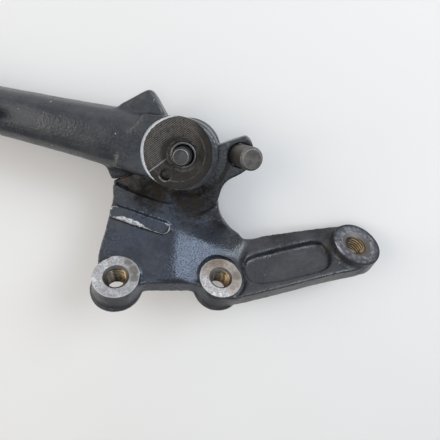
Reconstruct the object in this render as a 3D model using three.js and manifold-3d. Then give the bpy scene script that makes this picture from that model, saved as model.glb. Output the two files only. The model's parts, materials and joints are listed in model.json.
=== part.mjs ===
// Motorcycle side stand: a forged bracket with three tapped bosses, and a forged leg that swings on it.
//
// Frame, in millimetres: +Z is the axis of the pivot bolt, and the origin is where that axis meets the flat
// bottom of the bolt head. The stand lies on its back on the plane z = 0, which the bolt head, the foot
// plate and the outer boss of the bracket's arm touch. The leg is deployed and rests on its stop; it points
// towards -X. Seen from +Z it folds up clockwise, until its stop block meets the top of the spring ear.

import * as THREE from 'three';
import { mergeVertices } from 'three/addons/utils/BufferGeometryUtils.js';
import Module from 'manifold-3d';

// ---------------------------------------------------------------- driving dimensions

const GAP = 0.3; // clearance between separate pieces
const ROUND = 32; // segments of a full circle on most round features
const FAR = 300; // reach of a cutter that takes away a whole side
const ABOVE = 60; // height over everything, where cutters end
const BELOW = -20; // height under everything, where cutters start

// Heights of the pivot stack along Z, from the bolt head up to the switch seat.
const HEAD_TOP = 6.2;
const WASHER_TOP = 8;
const REAR_EAR = { bottom: 8.3, top: 14.3 };
const LUG = { bottom: 14.6, top: 25.2, radius: 15 };
const FRONT_EAR = { bottom: 25.5, seat: 33.5, rim: 34.4 };
const BOLT_END = 32.5;
const BOLT_TIP = 40;

// Pivot bolt and its bushes.
const HEAD_FLATS = 18;
const SHANK_R = 6.4;
const THREAD_R = 5.9;
const TIP_R = 4;
const TIP_GROOVE = { inner: 4, outer: 4.8, depth: 2 };
const BUSH = { outer: 8.4, flangeR: 9.8, flangeT: 1.2 };
const SEAL = { ringR: 11.3, wireR: 0.9 };
const SEAL_POCKET = { radius: 12.6, depth: 1.9 };
const WASHER_R = 11;
const CHAMFER = 0.8;

// Fork of the leg.
const EAR_R = 15.5;
const SEAT = { x: -2.6, y: 0.8, radius: 15.4 }; // milled seat of the switch
const PEG_HOLE = { x: -8.0, y: -8.5, radius: 2.5, depth: 5 }; // locates the switch
const WEB_R = 16; // inside of the fork's web, clear of the lug
const SWEEP_R = 19.5; // space in the bracket that the leg's ears turn in
const RIM_RELIEF_X = 4; // the ear's rim is lower on this side of the pivot
const SEAT_FACETS = 48;
const BLOCK = { bottom: 18.5, top: 26.5 };
const FLAT = { x: 25.5, y: -25.5, radius: 59.5 }; // round edge of the flat milled on the fork

// Both stop faces of the bracket lie on one line that passes just under the pivot.
const STOP_ANGLE = 18.3;
const STOP_OFFSET = 1.14;
const SWING = 100; // degrees from deployed to folded

// Bar of the leg: its centre line and half sizes, from the fork to the foot.
const BAR_PATH = [
  [-16, 3, 20.6], [-50, 10.9, 20.8], [-96, 21.3, 21], [-144, 32.4, 21.6], [-194, 47, 22.8], [-246, 65, 25],
];
const BAR_HALF_WIDTH = [14.8, 12.2, 10, 9.6, 9.3, 9];
const BAR_HALF_DEPTH = [14, 13.9, 11.6, 10.2, 9.5, 9];
const BAR_SQUARENESS = 2.6; // exponent of the section's superellipse
const BAR_SIDES = 16;
const BAR_STEPS = 18;
const FOOT = { width: 56, height: 50, thickness: 6, lean: 20, corner: 12 };
const WELD = { leg: 4.5, spread: 1.5 };
const TANG = { along: 0.7, radius: 5.5, rise: 22, reach: 15, endRadius: 7, weldSink: 2.5 };
const LEG_PIN = { along: 0.36, radius: 5, length: 11, head: 6.6 };
const HOOK_GROOVE = { depth: 0.9, bottom: 6.4, top: 2.6, slope: 0.8 }; // heights are under the pin's top

// Plate of the bracket: top plane through a point, falling away to +X and +Y.
const PLATE = { x: -8, y: -24, z: 25.6, slopeX: -0.21, slopeY: -0.18, thickness: 7.5 };
const PLATE_PAD = { proud: 1.1, sunk: 1 };

// Spring ear and its leaning pin.
const EAR_TOP = 24.5;
const SPRING_PIN = { x: 25, y: -0.9, radius: 5, length: 24, lean: 17.5, below: 9.6 };

// Mounting frame: the face plane of the two lower bosses, its origin at the middle boss.
const MOUNT_ORIGIN = new THREE.Vector3(16.2, -57.4, 32.9);
const MOUNT_TILT = 56.6; // between the boss axes and the pivot axis
const MOUNT_YAW = 14.85;
const MOUNT_ROLL = 15.4;
const BOSS_LEFT = { x: -48, y: 0, z: 0, radius: 10.3, height: 13.5, mouthR: 5.6, mouthDepth: 1.6 };
const BOSS_MIDDLE = { x: 0, y: 0, z: 0, radius: 10.3, height: 12, mouthR: 5.3, mouthDepth: 0.8 };
const BOSS_RIGHT = { x: 69, y: 12, z: 14.5, radius: 12.3, height: 10, mouthR: 7.4, mouthDepth: 2.2 };
const BOSS_FLARE = 0.9; // a boss is wider at its foot than at its face by this much all round
const BOSS_EDGE = { face: 0.4, foot: 1.4 };
const MOAT = { width: 1.9, depth: 0.8 }; // milled round the middle boss's face
const PAD = { top: -1.5, bottom: -10.4, edge: -2.2 }; // between the two lower bosses
const THREAD_HOLE_R = 4.8; // mean radius of the M10 threads
const ARM = { drop: 1, thickness: 9, pocketDepth: 3.5, pocketR: 8.3 };

// ---------------------------------------------------------------- materials

const steel = (color, roughness) => new THREE.MeshStandardMaterial({ color, roughness, metalness: 1 });
const paint = new THREE.MeshStandardMaterial({ color: 0x2b2d31, roughness: 0.45, metalness: 0.2 });
const wornSteel = steel(0x8f8a84, 0.45);
const boltSteel = steel(0xb4b6ba, 0.3);
const bronze = steel(0xa9834b, 0.4);
const rubber = new THREE.MeshStandardMaterial({ color: 0x1a1a1a, roughness: 0.9, metalness: 0 });

// ---------------------------------------------------------------- solids

const wasm = await Module();
wasm.setup();

const rad = THREE.MathUtils.degToRad;

/** A closed geometry as a solid that can be joined and cut. */
function solid(geometry, matrix) {
  const bare = geometry.index ? geometry.clone() : geometry;
  bare.deleteAttribute('normal');
  bare.deleteAttribute('uv');
  const welded = mergeVertices(bare, 1e-4);
  if (matrix) welded.applyMatrix4(matrix);
  return new wasm.Manifold(new wasm.Mesh({
    numProp: 3,
    vertProperties: new Float32Array(welded.attributes.position.array),
    triVerts: new Uint32Array(welded.index.array),
  }));
}

/** The geometry of a solid. */
function geometryOf(body) {
  const mesh = body.getMesh();
  const geometry = new THREE.BufferGeometry();
  geometry.setAttribute('position', new THREE.BufferAttribute(mesh.vertProperties, 3));
  geometry.setIndex(new THREE.BufferAttribute(mesh.triVerts, 1));
  geometry.computeVertexNormals();
  return geometry;
}

const join = (first, ...rest) => rest.reduce((sum, next) => sum.add(next), first);
const cut = (first, ...rest) => rest.reduce((left, next) => left.subtract(next), first);

/** A closed outline through the corners [x, y, radius], each rounded by its radius. */
function outline(corners) {
  const shape = new THREE.Shape();
  const points = corners.map(([x, y]) => new THREE.Vector2(x, y));
  const count = points.length;
  corners.forEach(([, , radius = 0], i) => {
    const here = points[i];
    const back = points[(i + count - 1) % count].clone().sub(here);
    const ahead = points[(i + 1) % count].clone().sub(here);
    const trim = Math.min(radius, back.length() * 0.48, ahead.length() * 0.48);
    const start = here.clone().add(back.setLength(trim));
    const end = here.clone().add(ahead.setLength(trim));
    if (i === 0) shape.moveTo(start.x, start.y);
    else shape.lineTo(start.x, start.y);
    if (trim > 0) shape.quadraticCurveTo(here.x, here.y, end.x, end.y);
  });
  shape.closePath();
  return shape;
}

/** A slab of the given outline between two heights along its own Z. */
function slab(shape, bottom, top, matrix) {
  const options = { depth: top - bottom, bevelEnabled: false, curveSegments: 4 };
  const geometry = new THREE.ExtrudeGeometry(shape, options);
  geometry.translate(0, 0, bottom);
  return solid(geometry, matrix);
}

/** A round bar along its own Z between two heights, or a cone if two radii are given. */
function rod(radius, bottom, top, x = 0, y = 0, matrix = null, topRadius = radius, segments = ROUND) {
  const geometry = new THREE.CylinderGeometry(topRadius, radius, top - bottom, segments);
  geometry.rotateX(Math.PI / 2);
  geometry.translate(x, y, (top + bottom) / 2);
  return solid(geometry, matrix);
}

/** A solid turned about Z from the profile [radius, height], which starts and ends on the axis or closes. */
function turned(profile, segments = ROUND, matrix = null) {
  const geometry = new THREE.LatheGeometry(profile.map(([r, z]) => new THREE.Vector2(r, z)), segments);
  geometry.rotateX(Math.PI / 2);
  return solid(geometry, matrix);
}

/** Everything under a plane that passes through a point with the given slopes, as a big block. */
function halfSpace(plane, offset) {
  const normal = new THREE.Vector3(-plane.slopeX, -plane.slopeY, 1).normalize();
  const turn = new THREE.Quaternion().setFromUnitVectors(new THREE.Vector3(0, 0, 1), normal);
  const block = new THREE.BoxGeometry(2 * FAR, 2 * FAR, 2 * FAR).translate(0, 0, offset - FAR);
  const place = new THREE.Vector3(plane.x, plane.y, plane.z);
  return solid(block, new THREE.Matrix4().compose(place, turn, new THREE.Vector3(1, 1, 1)));
}

/** Everything below the plane that the stand lies on. */
function floorClearance() {
  return solid(new THREE.BoxGeometry(2 * FAR, 2 * FAR, 2 * FAR).translate(0, 0, -FAR));
}

/** A named part made of a solid. */
function placed(name, body, material) {
  const mesh = new THREE.Mesh(geometryOf(body), material);
  mesh.name = name;
  return mesh;
}

// ---------------------------------------------------------------- bracket

/** Matrix from the mounting frame to the stand's frame. */
function mountMatrix() {
  const tilt = rad(MOUNT_TILT);
  const yaw = rad(MOUNT_YAW);
  const z = new THREE.Vector3(Math.sin(tilt) * Math.sin(yaw), Math.sin(tilt) * Math.cos(yaw), Math.cos(tilt));
  const level = new THREE.Vector3(Math.cos(yaw), -Math.sin(yaw), 0);
  const x = level.applyAxisAngle(z, rad(MOUNT_ROLL));
  const y = new THREE.Vector3().crossVectors(z, x);
  return new THREE.Matrix4().makeBasis(x, y, z).setPosition(MOUNT_ORIGIN);
}
const MOUNT = mountMatrix();

/** Height of the stop line at x. */
const stopY = (x) => -STOP_OFFSET / Math.cos(rad(STOP_ANGLE)) + x * Math.tan(rad(STOP_ANGLE));

/** Middle layer: the lug, the shoulder under the leg's stop block and the spring ear. */
function lugLayer() {
  const layer = slab(outline([
    [-34.5, stopY(-34.5), 1], [-33.4, -19, 6], [-33.8, -22, 1], [-12, -30, 8], [6, -29, 8],
    [14.4, -24, 6], [16.8, -13.2, 8], [27, -8.8, 5], [32.6, -2, 6], [29.4, 6, 2],
    [27.4, stopY(27.4), 1],
  ]), LUG.bottom, EAR_TOP);
  const pad = rod(SWEEP_R, LUG.bottom, LUG.top).intersect(slab(outline([
    [-30, stopY(-30)], [-30, -30], [30, -30], [30, stopY(30)],
  ]), LUG.bottom, LUG.top));
  return join(layer, pad, rod(LUG.radius, LUG.bottom, LUG.top));
}

/** The plate that carries the lug down to the two lower bosses. */
function plate() {
  const column = slab(outline([
    [-33.5, -12.8, 2], [-33.2, -20, 8], [-36.2, -31, 8], [-41.5, -48, 6], [-40, -57, 4], [-18, -62.5, 4],
    [16, -63, 2], [28, -56, 2], [27, -41.5, 2], [20.5, -37.6, 7], [15, -31, 7], [14.2, -22, 4],
    [12, -20, 2], [2, -24.5, 8], [-12, -23, 8], [-24, -18, 8],
  ]), BELOW, ABOVE);
  return column.intersect(cut(halfSpace(PLATE, 0), halfSpace(PLATE, -PLATE.thickness)));
}

/** The flat raised pad with round ends on the plate. */
function platePad() {
  const pad = slab(outline([
    [-34.2, -21.4, 2.6], [-34.4, -27.6, 2.6], [-9.6, -38.2, 2.8], [-6.6, -32.8, 2.8],
  ]), BELOW, ABOVE);
  return pad.intersect(cut(halfSpace(PLATE, PLATE_PAD.proud), halfSpace(PLATE, -PLATE_PAD.sunk)));
}

/** One round boss of the mounting frame. */
function boss({ x, y, z, radius, height }) {
  const foot = radius + BOSS_FLARE;
  const profile = [
    [0, -height], [foot - BOSS_EDGE.foot, -height], [foot, BOSS_EDGE.foot - height],
    [radius, -BOSS_EDGE.face], [radius - BOSS_EDGE.face, 0], [0, 0],
  ];
  return turned(profile, 36, MOUNT.clone().multiply(new THREE.Matrix4().makeTranslation(x, y, z)));
}

/** Matrix of the arm's own frame: from the middle boss, rising towards the right boss. */
function armMatrix() {
  const reach = Math.hypot(BOSS_RIGHT.x, BOSS_RIGHT.y);
  const rise = Math.atan2(BOSS_RIGHT.z - ARM.drop, reach);
  const turn = new THREE.Matrix4().makeRotationZ(Math.atan2(BOSS_RIGHT.y, BOSS_RIGHT.x));
  const pitch = new THREE.Matrix4().makeRotationY(-rise);
  const lower = new THREE.Matrix4().makeTranslation(0, 0, -ARM.drop);
  return MOUNT.clone().multiply(lower).multiply(turn).multiply(pitch);
}
const ARM_FRAME = armMatrix();
const ARM_REACH = Math.hypot(BOSS_RIGHT.x, BOSS_RIGHT.y, BOSS_RIGHT.z - ARM.drop);

/** The arm from the middle boss to the right boss, with its long pocket. */
function arm() {
  const body = slab(outline([
    [-9, -9, 8], [4, -11.5, 6], [26, -11.8, 8], [52, -11.6, 8], [ARM_REACH + 3, -13, 8],
    [ARM_REACH + 13, 0, 8], [ARM_REACH + 6, 12.5, 7], [ARM_REACH - 14, 15.2, 8], [45, 16.4, 8],
    [22, 18.6, 8], [8, 21.5, 6], [-14, 22, 5],
  ]), -ARM.thickness, 0, ARM_FRAME);
  const r = ARM.pocketR;
  const pocket = slab(outline([
    [12.5, -r + 2, r * 0.8], [30, -r, 3], [56, -r, r * 0.85],
    [58, r, r * 0.85], [34, r + 0.4, 3], [13, r, r * 0.8],
  ]), -ARM.pocketDepth, 5, ARM_FRAME);
  return cut(body, pocket);
}

/** The pad that joins the two lower bosses, level with them, and carries the plate. */
function lowerPad() {
  const { top, bottom, edge } = PAD;
  return slab(outline([
    [-48, -9.5], [-42, -9.2], [-37.4, edge, 6], [-11, edge, 6], [-6.2, -9], [0, -9.5],
    [6, 8, 2], [4, 18, 4], [-16, 18, 4], [-56, 12, 3], [-57, 4, 4],
  ]), bottom, top, MOUNT);
}

/** Milling round the two lower boss faces, which sit below the plate. */
function faceMilling() {
  const face = rod(BOSS_LEFT.radius + BOSS_EDGE.face, 0, ABOVE, BOSS_LEFT.x, BOSS_LEFT.y, MOUNT);
  const moat = rod(BOSS_MIDDLE.radius + MOAT.width, -MOAT.depth, ABOVE, 0, 0, MOUNT);
  const island = rod(BOSS_MIDDLE.radius, -2 * MOAT.depth, 0, 0, 0, MOUNT);
  return face.add(cut(moat, island));
}

/** A tapped through hole with its countersink. */
function tappedHole({ x, y, z, height, mouthR, mouthDepth }) {
  const hole = rod(THREAD_HOLE_R, z - 1.6 * height, z + 1, x, y, MOUNT);
  const sink = rod(THREAD_HOLE_R, z - mouthDepth, z + 0.01, x, y, MOUNT, mouthR);
  return hole.add(sink);
}

/** The forged bracket with all its machining. */
function bracketSolid() {
  const forging = join(lugLayer(), plate(), platePad(), boss(BOSS_LEFT), boss(BOSS_MIDDLE),
    boss(BOSS_RIGHT), arm(), lowerPad());
  const frontSweep = rod(SWEEP_R, LUG.top, ABOVE);
  const rearSweep = rod(SWEEP_R, BELOW, LUG.bottom);
  const bore = rod(BUSH.outer + GAP, BELOW, ABOVE);
  const seals = [
    rod(SEAL_POCKET.radius, LUG.top - SEAL_POCKET.depth, ABOVE),
    rod(SEAL_POCKET.radius, BELOW, LUG.bottom + SEAL_POCKET.depth),
  ];
  const pinHole = rod(SPRING_PIN.radius + GAP, -EAR_TOP, EAR_TOP, 0, 0, springPinMatrix());
  return cut(forging, frontSweep, rearSweep, bore, ...seals, pinHole, faceMilling(),
    tappedHole(BOSS_LEFT), tappedHole(BOSS_MIDDLE), tappedHole(BOSS_RIGHT), floorClearance());
}

/** Matrix of the spring pin's own frame: it leans from the pivot axis towards +X. */
function springPinMatrix() {
  const lean = new THREE.Matrix4().makeRotationY(rad(SPRING_PIN.lean));
  return new THREE.Matrix4().makeTranslation(SPRING_PIN.x, SPRING_PIN.y, EAR_TOP).multiply(lean);
}

/** The pin that the spring's fixed end hooks on. */
function springPin() {
  const { radius, length, below } = SPRING_PIN;
  return turned([
    [0, -below], [radius - CHAMFER, -below], [radius, CHAMFER - below], [radius, length - below - CHAMFER],
    [radius - CHAMFER, length - below], [0, length - below],
  ], 32, springPinMatrix());
}

// ---------------------------------------------------------------- pivot

/** A flanged bush in the lug's bore; flip turns it over for the back. */
function bush(flip) {
  const inner = SHANK_R + GAP;
  const top = LUG.top - SEAL_POCKET.depth + GAP + BUSH.flangeT;
  const middle = (LUG.top + LUG.bottom) / 2 + GAP / 2;
  const profile = [
    [inner, middle], [BUSH.outer, middle], [BUSH.outer, top - BUSH.flangeT],
    [BUSH.flangeR, top - BUSH.flangeT], [BUSH.flangeR, top], [inner, top], [inner, middle],
  ];
  return turned(profile, ROUND, flip ? flipped() : null);
}

/** Half turn about the X direction through the middle of the lug. */
function flipped() {
  const lift = new THREE.Matrix4().makeTranslation(0, 0, LUG.top + LUG.bottom);
  return lift.multiply(new THREE.Matrix4().makeRotationX(Math.PI));
}

/** The dust seal in its pocket at the end of the lug. */
function seal(flip) {
  const z = LUG.top - SEAL_POCKET.depth + SEAL.wireR + 0.1;
  const ring = new THREE.TorusGeometry(SEAL.ringR, SEAL.wireR, 8, ROUND).translate(0, 0, z);
  return solid(ring, flip ? flipped() : null);
}

/** The shouldered bolt: hexagon head at the back, thread in the front ear, and a plain tip. */
function pivotBolt() {
  const hexR = HEAD_FLATS / 2 / Math.cos(Math.PI / 6);
  const hex = rod(hexR, 0, HEAD_TOP, 0, 0, null, hexR, 6);
  const crown = turned([[0, 0], [hexR - 1.6, 0], [hexR + 0.2, 1.1], [hexR + 0.2, HEAD_TOP], [0, HEAD_TOP]]);
  const { inner, outer, depth } = TIP_GROOVE;
  const threadStart = FRONT_EAR.bottom - 0.5;
  const shaft = turned([
    [0, HEAD_TOP - 1], [SHANK_R, HEAD_TOP - 1], [SHANK_R, threadStart - 0.5], [THREAD_R, threadStart],
    [THREAD_R, BOLT_END - 0.5], [THREAD_R - 0.5, BOLT_END], [outer, BOLT_END], [inner, BOLT_END - depth],
    [TIP_R, BOLT_END - depth + 0.4], [TIP_R, BOLT_TIP - 1], [TIP_R - 1, BOLT_TIP], [0, BOLT_TIP],
  ]);
  return hex.intersect(crown).add(shaft);
}

function boltWasher() {
  const inner = SHANK_R + GAP;
  const bottom = HEAD_TOP + GAP;
  return turned([
    [inner, bottom], [WASHER_R - 0.2, bottom], [WASHER_R, bottom + 0.3], [WASHER_R, WASHER_TOP],
    [inner, WASHER_TOP], [inner, bottom],
  ]);
}

// ---------------------------------------------------------------- leg

const barCurve = new THREE.CatmullRomCurve3(BAR_PATH.map(([x, y, z]) => new THREE.Vector3(x, y, z)));

/** Value of a list at a fraction of its length, joined by straight lines. */
function along(list, t) {
  const place = t * (list.length - 1);
  const i = Math.min(Math.floor(place), list.length - 2);
  return THREE.MathUtils.lerp(list[i], list[i + 1], place - i);
}

/** Frame of the bar's section at a fraction of its length: X across, Y towards +Z, Z along the bar. */
function barFrame(t) {
  const forward = barCurve.getTangent(t);
  const across = new THREE.Vector3(0, 0, 1).cross(forward).normalize();
  const up = new THREE.Vector3().crossVectors(forward, across);
  return new THREE.Matrix4().makeBasis(across, up, forward).setPosition(barCurve.getPoint(t));
}

/** One ring of the bar's section, a superellipse. */
function barRing(t, extra) {
  const halfWidth = along(BAR_HALF_WIDTH, t) + extra;
  const halfDepth = along(BAR_HALF_DEPTH, t) + extra;
  const frame = barFrame(t);
  return Array.from({ length: BAR_SIDES }, (_, i) => {
    const angle = (2 * Math.PI * (i + 0.5)) / BAR_SIDES;
    const sum = Math.abs(Math.cos(angle)) ** BAR_SQUARENESS + Math.abs(Math.sin(angle)) ** BAR_SQUARENESS;
    const squareness = sum ** (-1 / BAR_SQUARENESS);
    const point = new THREE.Vector3(
      halfWidth * squareness * Math.cos(angle), halfDepth * squareness * Math.sin(angle), 0,
    );
    return point.applyMatrix4(frame);
  });
}

/** The bar, or a thicker copy of it, as rings joined by quads and closed by two fans. */
function bar(extra = 0) {
  const rings = Array.from({ length: BAR_STEPS + 1 }, (_, i) => barRing(i / BAR_STEPS, extra));
  const points = [...rings.flat(), barCurve.getPoint(0), barCurve.getPoint(1)];
  const start = points.length - 2;
  const faces = [];
  const last = BAR_STEPS * BAR_SIDES;
  for (let j = 0; j < BAR_SIDES; j += 1) {
    const next = (j + 1) % BAR_SIDES;
    faces.push([start, next, j], [start + 1, last + j, last + next]);
    for (let i = 0; i < BAR_STEPS; i += 1) {
      const here = i * BAR_SIDES;
      const ahead = here + BAR_SIDES;
      faces.push([here + j, here + next, ahead + next], [here + j, ahead + next, ahead + j]);
    }
  }
  const geometry = new THREE.BufferGeometry().setFromPoints(points);
  geometry.setIndex(faces.flat());
  return solid(geometry);
}

/** Outline of both ears: a disc round the pivot with a flat tongue towards the bar. */
function ear(bottom, top) {
  const tongue = outline([
    [-2, 15.4, 0], [-15.8, 17.3, 1], [-32, 17, 0], [-36, -2.6, 0], [-30.7, -4.3, 3], [-15.4, -9.6, 0],
    [-10, -11.8, 0],
  ]);
  const disc = rod(EAR_R, bottom, top, 0, 0, null, EAR_R, SEAT_FACETS);
  return slab(tongue, bottom, top).intersect(flatCutter(bottom, top)).add(disc);
}

/** Point on a ray from the pivot, for the stop block. */
function turnedStop(distance, angle) {
  const offset = STOP_OFFSET - GAP;
  const a = rad(STOP_ANGLE + angle);
  return [distance * Math.cos(a) + offset * Math.sin(a), distance * Math.sin(a) - offset * Math.cos(a)];
}

/** The stop block in the middle layer: one face stops the leg down and the other stops it up. */
function stopBlock() {
  const downInner = turnedStop(-12, 0);
  const downOuter = turnedStop(-36.2, 0);
  const upInner = turnedStop(12, SWING);
  const upOuter = turnedStop(31, SWING);
  const block = slab(outline([
    [...downInner, 0], [...upInner, 0], [...upOuter, 1.5],
    [-28.8, 20.8, 2], [-37, -5.5, 3], [...downOuter, 1],
  ]), BLOCK.bottom, BLOCK.top);
  return cut(block, rod(WEB_R, BLOCK.bottom - 1, BLOCK.top + 1));
}

/** The forged leg: the bar, the fork's ears and the stop block. */
function legSolid() {
  const earSpace = rod(WEB_R, REAR_EAR.top, FRONT_EAR.bottom);
  const lift = GAP / Math.cos(rad(STOP_ANGLE));
  const underBar = slab(outline([
    [2, stopY(2) + lift], [-FAR, stopY(-FAR) + lift], [-FAR, -FAR], [2, -FAR],
  ]), REAR_EAR.top, FRONT_EAR.bottom);
  const frontFlat = flatCutter(FRONT_EAR.rim, ABOVE);
  const backFlat = flatCutter(BELOW, REAR_EAR.bottom);
  const trimmedBar = cut(bar(), frontFlat, backFlat, beyondFoot());
  const raw = join(trimmedBar, ear(REAR_EAR.bottom, REAR_EAR.top), ear(FRONT_EAR.bottom, FRONT_EAR.rim));
  const seatCut = rod(SEAT.radius, FRONT_EAR.seat, ABOVE, SEAT.x, SEAT.y, null, SEAT.radius, SEAT_FACETS);
  const seatColumn = rod(SEAT.radius, 0, 2 * ABOVE, SEAT.x, SEAT.y);
  const edgeCut = cut(rod(SWEEP_R, FRONT_EAR.rim - 0.5, ABOVE), seatColumn);
  const peg = rod(PEG_HOLE.radius, FRONT_EAR.seat - PEG_HOLE.depth, ABOVE, PEG_HOLE.x, PEG_HOLE.y);
  const threadHole = rod(THREAD_R + GAP, FRONT_EAR.bottom - 1, ABOVE);
  const threadSink = rod(THREAD_R + GAP, FRONT_EAR.seat - CHAMFER, FRONT_EAR.seat + 0.1, 0, 0, null,
    THREAD_R + GAP + CHAMFER);
  const shankHole = rod(SHANK_R + GAP, 0, REAR_EAR.top + 1);
  const fork = cut(raw, earSpace, underBar).add(stopBlock());
  return cut(fork, seatCut, edgeCut.intersect(rimRelief()), peg, threadHole, threadSink, shankHole,
    legPinHole(), floorClearance());
}

/** The cutter of the flats on both sides of the fork, which end in a long arc across the bar. */
function flatCutter(bottom, top) {
  const { x, y, radius } = FLAT;
  return rod(radius, bottom, top, x, y, null, radius, 96);
}

/** The half of the ear's rim away from the bar, which is a little lower. */
function rimRelief() {
  const box = [[RIM_RELIEF_X, -FAR], [FAR, -FAR], [FAR, FAR], [RIM_RELIEF_X, FAR]];
  return slab(outline(box), 0, ABOVE);
}

// ---------------------------------------------------------------- fittings of the leg

/** Frame at a place along the bar's centre line, level with the stand's own frame. */
function levelFrame(t) {
  const at = barCurve.getPoint(t);
  return new THREE.Matrix4().makeTranslation(at.x, at.y, at.z);
}

function legPinHole() {
  const r = LEG_PIN.radius + GAP;
  return rod(r, 0, ABOVE, 0, 0, levelFrame(LEG_PIN.along));
}

/** The leg's spring pin, with a groove under its head for the spring's hook. */
function legSpringPin() {
  const { radius, length, head } = LEG_PIN;
  const top = along(BAR_HALF_DEPTH, LEG_PIN.along) + length;
  const groove = HOOK_GROOVE;
  const neck = radius - groove.depth;
  return turned([
    [0, GAP], [radius, GAP], [radius, top - groove.bottom], [neck, top - groove.bottom + groove.slope],
    [neck, top - groove.top - groove.slope], [head, top - groove.top], [head, top - CHAMFER],
    [head - CHAMFER, top], [0, top],
  ], ROUND, levelFrame(LEG_PIN.along));
}

/** Frame of the foot plate's back face, which leans across the end of the bar. */
function footMatrix() {
  return barFrame(0.985).multiply(new THREE.Matrix4().makeRotationX(rad(FOOT.lean)));
}

function footPlate() {
  const w = FOOT.width / 2;
  const h = FOOT.height / 2;
  const c = FOOT.corner;
  const shape = outline([[-w, -h, c], [w, -h, c], [w, h, c], [-w, h, c]]);
  const body = slab(shape, 0, FOOT.thickness, footMatrix());
  return cut(body, floorClearance());
}

/** The space that the foot plate takes off the end of the bar. */
function beyondFoot() {
  const square = [[-ABOVE, -ABOVE], [ABOVE, -ABOVE], [ABOVE, ABOVE], [-ABOVE, ABOVE]];
  return slab(outline(square), -GAP, ABOVE, footMatrix());
}

/** Fillet weld between the bar's end and the foot plate. */
function footWeld() {
  const inner = along(BAR_HALF_DEPTH, 1) + WELD.spread;
  const bead = rod(inner, -GAP - WELD.leg, -GAP, 0, 0, footMatrix(), inner + WELD.leg);
  return cut(bead, bar(GAP));
}

/** The line of the tang: out of the bar and then back along it, with a round end. */
function tangCurve() {
  const at = barCurve.getPoint(TANG.along);
  const forward = barCurve.getTangent(TANG.along);
  const side = new THREE.Vector3(forward.y, -forward.x, 0).normalize();
  const outward = new THREE.Vector3(0, 0, 1);
  const point = (out, sideways) => at.clone().addScaledVector(side, sideways).addScaledVector(outward, out);
  return new THREE.CatmullRomCurve3([
    point(2, 0), point(TANG.rise * 0.6, 1), point(TANG.rise, 4), point(TANG.rise + 5, TANG.reach),
  ]);
}

function tangSolid(extra = 0) {
  const curve = tangCurve();
  const circle = new THREE.Shape().absarc(0, 0, TANG.radius + extra, 0, 2 * Math.PI);
  const stem = new THREE.ExtrudeGeometry(circle, { steps: 12, curveSegments: 8, extrudePath: curve });
  const knob = new THREE.SphereGeometry(TANG.endRadius + extra, 18, 12);
  const end = curve.getPoint(1);
  return solid(stem).add(solid(knob, new THREE.Matrix4().makeTranslation(end.x, end.y, end.z)));
}

/** Fillet weld round the foot of the tang. */
function tangWeld() {
  const surface = along(BAR_HALF_DEPTH, TANG.along);
  const wide = TANG.radius + WELD.leg;
  const narrow = TANG.radius + WELD.spread;
  const bottom = surface - TANG.weldSink;
  const bead = rod(wide, bottom, surface + WELD.leg, 0, 0, levelFrame(TANG.along), narrow);
  return cut(bead, bar(GAP), tangSolid(GAP));
}

// ---------------------------------------------------------------- assembly

const stand = new THREE.Group();
stand.name = 'side_stand';

const bracketGroup = new THREE.Group();
bracketGroup.add(
  placed('bracket', bracketSolid(), paint),
  placed('spring_hook_pin', springPin(), wornSteel),
  placed('pivot_bush_front', bush(false), bronze),
  placed('pivot_bush_rear', bush(true), bronze),
  placed('dust_seal_front', seal(false), rubber),
  placed('dust_seal_rear', seal(true), rubber),
);

const legGroup = new THREE.Group();
legGroup.add(
  placed('leg', legSolid(), paint),
  placed('pivot_bolt', pivotBolt(), boltSteel),
  placed('bolt_washer', boltWasher(), boltSteel),
  placed('leg_spring_pin', legSpringPin(), wornSteel),
  placed('foot_plate', footPlate(), paint),
  placed('foot_weld', footWeld(), paint),
  placed('foot_tang', cut(tangSolid(), bar(GAP)), paint),
  placed('tang_weld', tangWeld(), paint),
);

stand.add(bracketGroup, legGroup);

export default stand;
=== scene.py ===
"""Looks of the motorcycle side stand: forged and painted steel, machined faces, threads and welds."""

import json
import math

import bmesh
import bpy
import numpy as np
from mathutils import Matrix, Vector, noise


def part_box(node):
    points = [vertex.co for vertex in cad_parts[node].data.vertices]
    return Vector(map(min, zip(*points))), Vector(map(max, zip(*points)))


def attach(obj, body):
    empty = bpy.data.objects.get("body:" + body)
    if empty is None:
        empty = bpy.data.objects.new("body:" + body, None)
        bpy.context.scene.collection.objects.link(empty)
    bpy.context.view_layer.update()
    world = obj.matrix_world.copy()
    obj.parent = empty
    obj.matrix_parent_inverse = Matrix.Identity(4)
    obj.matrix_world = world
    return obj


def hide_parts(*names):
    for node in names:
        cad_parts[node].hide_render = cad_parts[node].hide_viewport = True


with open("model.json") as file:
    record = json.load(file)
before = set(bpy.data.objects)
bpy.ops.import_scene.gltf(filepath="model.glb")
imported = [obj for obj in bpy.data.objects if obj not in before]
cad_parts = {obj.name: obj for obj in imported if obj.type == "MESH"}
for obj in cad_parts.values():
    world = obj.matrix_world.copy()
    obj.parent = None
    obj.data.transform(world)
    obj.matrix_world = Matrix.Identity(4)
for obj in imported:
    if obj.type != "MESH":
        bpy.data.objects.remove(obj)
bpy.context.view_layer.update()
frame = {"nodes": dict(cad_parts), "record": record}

MM = 0.001

# ---- places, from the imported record

mounts = {m["name"]: m for m in frame["record"]["mounts"]}
openings = {o["name"]: o["box_m"] for o in frame["record"]["physics"]["openings"]}


def hole_centre(side):
    """Where the axis of a boss's screw hole meets the boss's face."""
    low, high = openings[f"{side}_screw_hole_mouth"]
    inside = (Vector(low) + Vector(high)) / 2
    mount = mounts[f"boss_{side}_face"]
    axis = Vector(mount["axis"]).normalized()
    return inside + axis * (Vector(mount["pos_m"]) - inside).dot(axis)


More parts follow.
